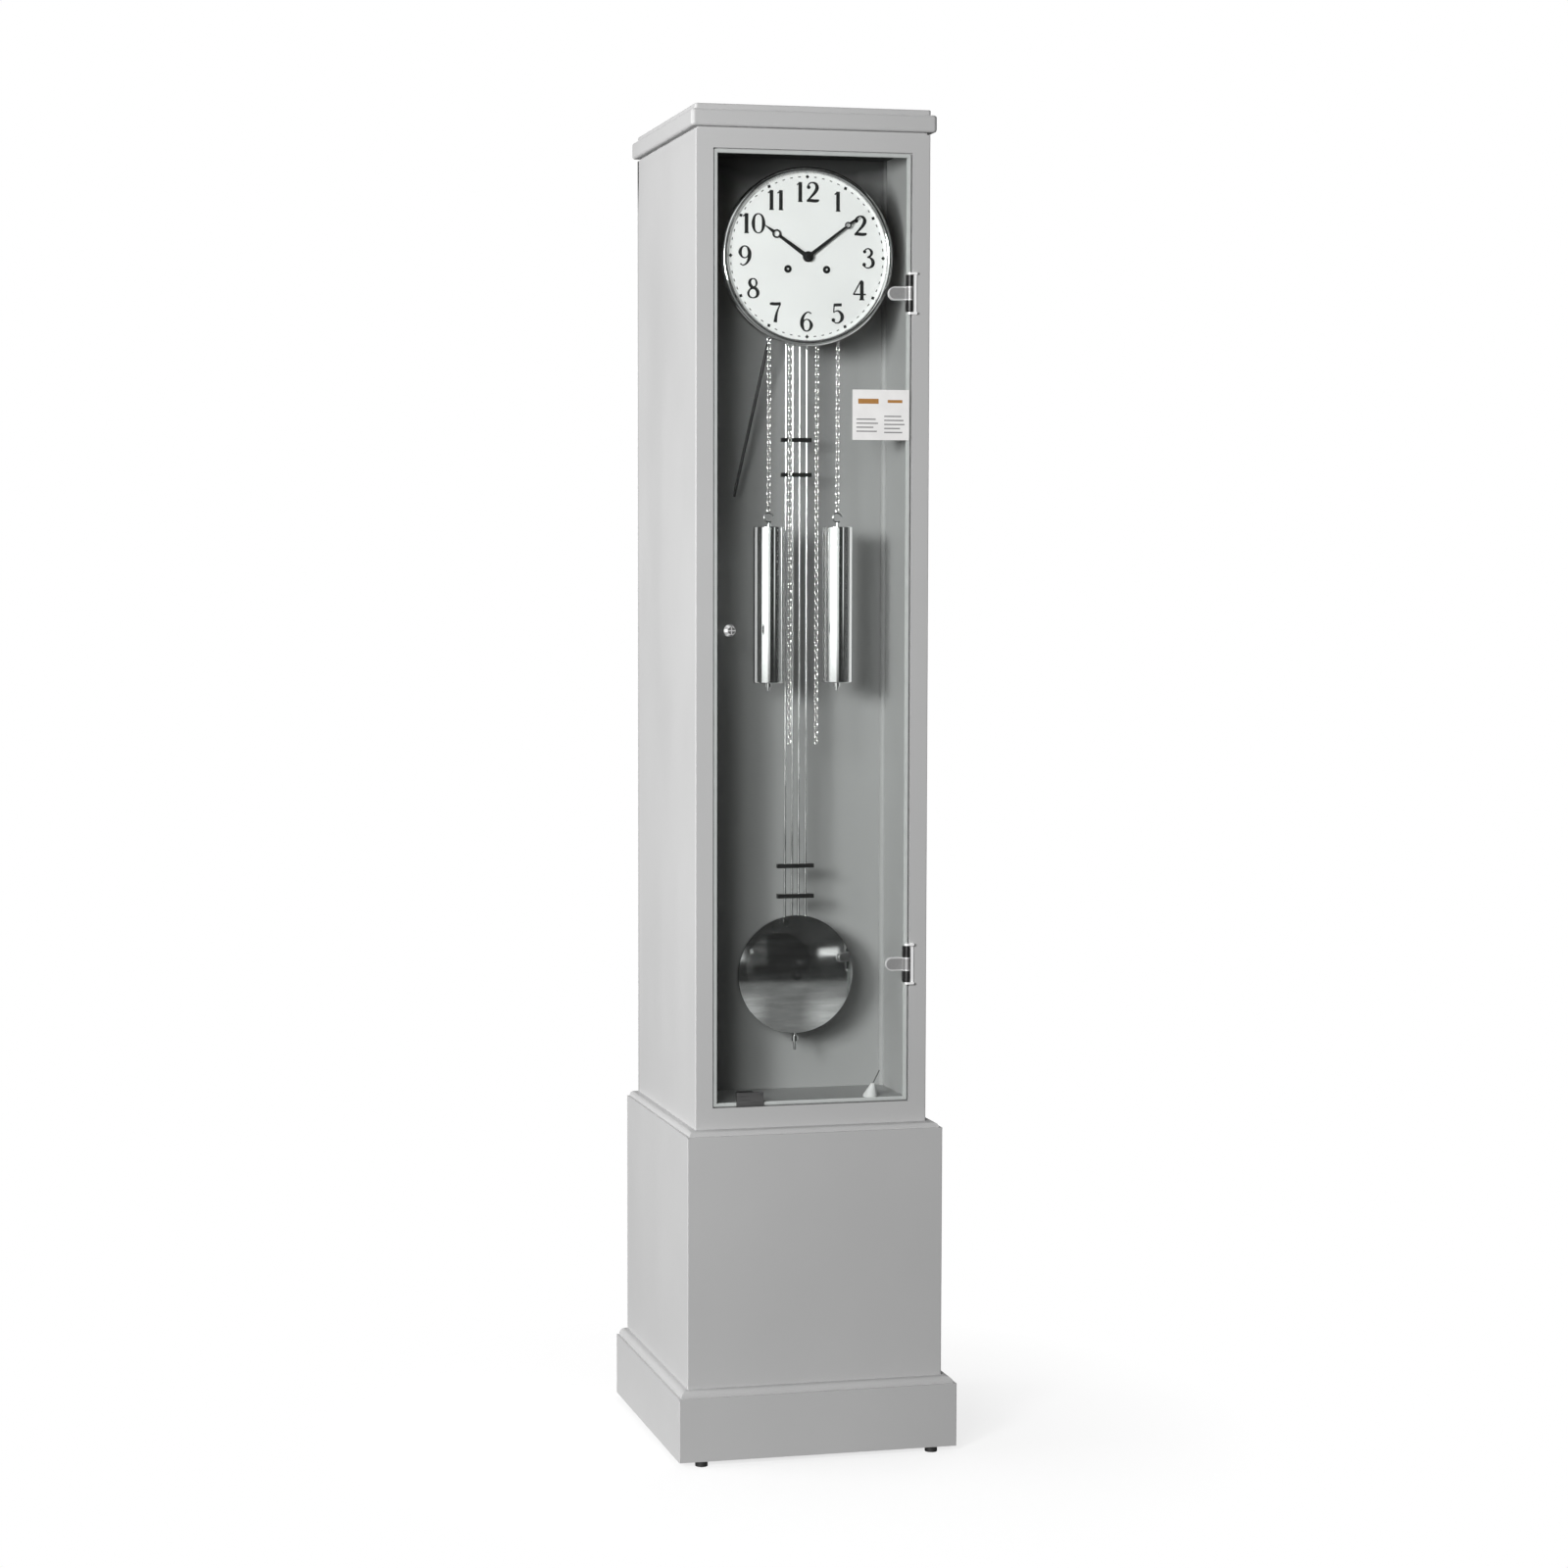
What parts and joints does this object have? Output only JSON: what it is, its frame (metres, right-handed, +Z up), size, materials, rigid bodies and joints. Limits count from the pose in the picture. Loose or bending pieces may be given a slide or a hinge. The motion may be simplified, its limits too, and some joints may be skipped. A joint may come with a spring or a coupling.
{
  "type": "grandfather clock",
  "caption": "Tall lacquered floor clock with a glazed hinged door, round dial, chain-hung weights, gridiron pendulum and rod gong.",
  "frame": {"origin": "on the floor, under the middle of the plinth", "axes": "+Z up, the dial faces -Y, +X to the right of a person reading the dial"},
  "size_m": [0.412, 0.396, 1.918],
  "materials": {
    "lacquer": "satin light grey lacquer",
    "inner_lacquer": "matt light grey lacquer",
    "door_glass": "clear float glass",
    "chrome": "polished",
    "nickel_chain": "nickel plated",
    "steel": "ground",
    "clip_steel": "dark satin",
    "hinge_black": "satin black with chrome tabs",
    "black": "satin black",
    "gong_steel": "blued",
    "gong_iron": "cast",
    "dial_white": "satin white with printed numerals",
    "brass": "polished",
    "black_plastic": "moulded",
    "card": "plain card"
  },
  "bodies": {
    "case": {"plinth_skirt": "lacquer", "plinth_board": "lacquer", "base_panels": "lacquer", "base_board": "lacquer", "side_panel_left": "lacquer", "side_panel_right": "lacquer", "rear_panel": "inner_lacquer", "face_frame": "lacquer", "compartment_back": "inner_lacquer", "corner_beads": "inner_lacquer", "compartment_floor": "inner_lacquer", "top_board": "inner_lacquer", "cornice_slab": "lacquer", "cornice_cap": "lacquer", "levelling_feet": "black_plastic", "hinge_plates": "steel", "magnetic_catch": "black_plastic", "gong_block": "gong_iron", "gong_rod": "gong_steel", "seat_bracket": "inner_lacquer", "front_plate": "brass", "back_plate": "brass", "plate_pillars": "steel", "suspension_cock": "brass", "dial_plate": "dial_white", "dial_ring": "chrome", "dial_screws": "black", "dial_posts": "steel"},
    "door": {"door_glass": "door_glass", "hinge_clamps": "hinge_black", "door_knob": "chrome", "door_clip": "clip_steel", "label_card": "card"},
    "pendulum": {"suspension_spring": "steel", "pendulum_rods": "chrome", "pendulum_crossbars": "black", "pendulum_bob": "chrome"},
    "rating_nut": {"rating_nut": "chrome"},
    "anchor": {"anchor": "steel"},
    "minute_arbor": {"centre_wheel": "brass", "minute_hand": "black", "hand_nut": "black"},
    "hour_pipe": {"hour_wheel": "brass", "hour_hand": "black"},
    "minute_wheel": {"minute_wheel": "brass"},
    "time_great_wheel": {"time_great_wheel": "brass"},
    "third_wheel": {"third_wheel": "brass"},
    "escape_wheel": {"escape_wheel": "brass"},
    "strike_great_wheel": {"strike_great_wheel": "brass"},
    "pin_wheel": {"pin_wheel": "brass"},
    "fly_fan": {"fly_fan": "brass"},
    "strike_hammer": {"strike_hammer": "steel"},
    "sprocket_left": {"sprocket_left": "brass"},
    "sprocket_right": {"sprocket_right": "brass"},
    "weight_left": {"weight_left": "chrome", "chain_weight_left": "nickel_chain"},
    "weight_right": {"weight_right": "chrome", "chain_weight_right": "nickel_chain"},
    "chain_free_left": {"chain_free_left": "nickel_chain"},
    "chain_free_right": {"chain_free_right": "nickel_chain"}
  },
  "joints": [
    {"name": "door_hinge", "type": "hinge", "parent": "case", "child": "door", "pos_m": [0.1415, -0.156, 1.182], "axis": [0, 0, 1], "range_deg": [0, 100]},
    {"name": "pendulum_swing", "type": "hinge", "parent": "case", "child": "pendulum", "pos_m": [0, -0.068, 1.766], "axis": [0, 1, 0], "range_deg": [-3, 3]},
    {"name": "anchor_rock", "type": "hinge", "parent": "case", "child": "anchor", "pos_m": [0, -0.104, 1.766], "axis": [0, 1, 0], "range_deg": [-3, 3]},
    {"name": "rating_nut_turn", "type": "hinge", "parent": "pendulum", "child": "rating_nut", "pos_m": [0, -0.068, 0.589], "axis": [0, 0, 1], "continuous": true},
    {"name": "minute_turn", "type": "hinge", "parent": "case", "child": "minute_arbor", "pos_m": [0, -0.104, 1.712], "axis": [0, 1, 0], "continuous": true},
    {"name": "hour_turn", "type": "hinge", "parent": "case", "child": "hour_pipe", "pos_m": [0, -0.104, 1.712], "axis": [0, 1, 0], "continuous": true},
    {"name": "minute_wheel_turn", "type": "hinge", "parent": "case", "child": "minute_wheel", "pos_m": [0, -0.114, 1.732], "axis": [0, 1, 0], "continuous": true},
    {"name": "time_great_turn", "type": "hinge", "parent": "case", "child": "time_great_wheel", "pos_m": [0.0355, -0.104, 1.69], "axis": [0, 1, 0], "continuous": true},
    {"name": "third_turn", "type": "hinge", "parent": "case", "child": "third_wheel", "pos_m": [-0.014, -0.104, 1.73075], "axis": [0, 1, 0], "continuous": true},
    {"name": "escape_turn", "type": "hinge", "parent": "case", "child": "escape_wheel", "pos_m": [0, -0.104, 1.74315], "axis": [0, 1, 0], "continuous": true},
    {"name": "strike_great_turn", "type": "hinge", "parent": "case", "child": "strike_great_wheel", "pos_m": [-0.0355, -0.104, 1.69], "axis": [0, 1, 0], "continuous": true},
    {"name": "pin_wheel_turn", "type": "hinge", "parent": "case", "child": "pin_wheel", "pos_m": [-0.0535, -0.104, 1.7277], "axis": [0, 1, 0], "continuous": true},
    {"name": "fly_turn", "type": "hinge", "parent": "case", "child": "fly_fan", "pos_m": [-0.0455, -0.104, 1.7446], "axis": [0, 1, 0], "continuous": true},
    {"name": "hammer_lift", "type": "hinge", "parent": "case", "child": "strike_hammer", "pos_m": [-0.07, -0.104, 1.655], "axis": [0, -1, 0], "range_deg": [0, 12]},
    {"name": "sprocket_left_turn", "type": "hinge", "parent": "case", "child": "sprocket_left", "pos_m": [-0.0355, -0.104, 1.69], "axis": [0, 1, 0], "continuous": true},
    {"name": "sprocket_right_turn", "type": "hinge", "parent": "case", "child": "sprocket_right", "pos_m": [0.0355, -0.104, 1.69], "axis": [0, 1, 0], "continuous": true},
    {"name": "weight_left_drop", "type": "slide", "parent": "case", "child": "weight_left", "axis": [0, 0, 1], "range_m": [-0.5, 0.2], "deforming": ["chain_weight_left"]},
    {"name": "chain_left_rise", "type": "slide", "parent": "case", "child": "chain_free_left", "axis": [0, 0, 1], "range_m": [-0.2, 0.5], "deforming": ["chain_free_left"]},
    {"name": "weight_right_drop", "type": "slide", "parent": "case", "child": "weight_right", "axis": [0, 0, 1], "range_m": [-0.5, 0.2], "deforming": ["chain_weight_right"]},
    {"name": "chain_right_rise", "type": "slide", "parent": "case", "child": "chain_free_right", "axis": [0, 0, 1], "range_m": [-0.2, 0.5], "deforming": ["chain_free_right"]}
  ],
  "couplings": [
    {"joint": "anchor_rock", "follows": "pendulum_swing", "ratio": 1},
    {"joint": "hour_turn", "follows": "minute_turn", "ratio": 0.083333},
    {"joint": "minute_wheel_turn", "follows": "minute_turn", "ratio": -0.33333},
    {"joint": "time_great_turn", "follows": "minute_turn", "ratio": -0.083333},
    {"joint": "third_turn", "follows": "minute_turn", "ratio": -8},
    {"joint": "escape_turn", "follows": "minute_turn", "ratio": 60},
    {"joint": "pin_wheel_turn", "follows": "strike_great_turn", "ratio": -12},
    {"joint": "fly_turn", "follows": "strike_great_turn", "ratio": 90},
    {"joint": "chain_left_rise", "follows": "weight_left_drop", "ratio": -1},
    {"joint": "chain_right_rise", "follows": "weight_right_drop", "ratio": -1},
    {"joint": "sprocket_left_turn", "follows": "weight_left_drop", "rad_per_m": 64.516},
    {"joint": "sprocket_right_turn", "follows": "weight_right_drop", "rad_per_m": -64.516}
  ]
}
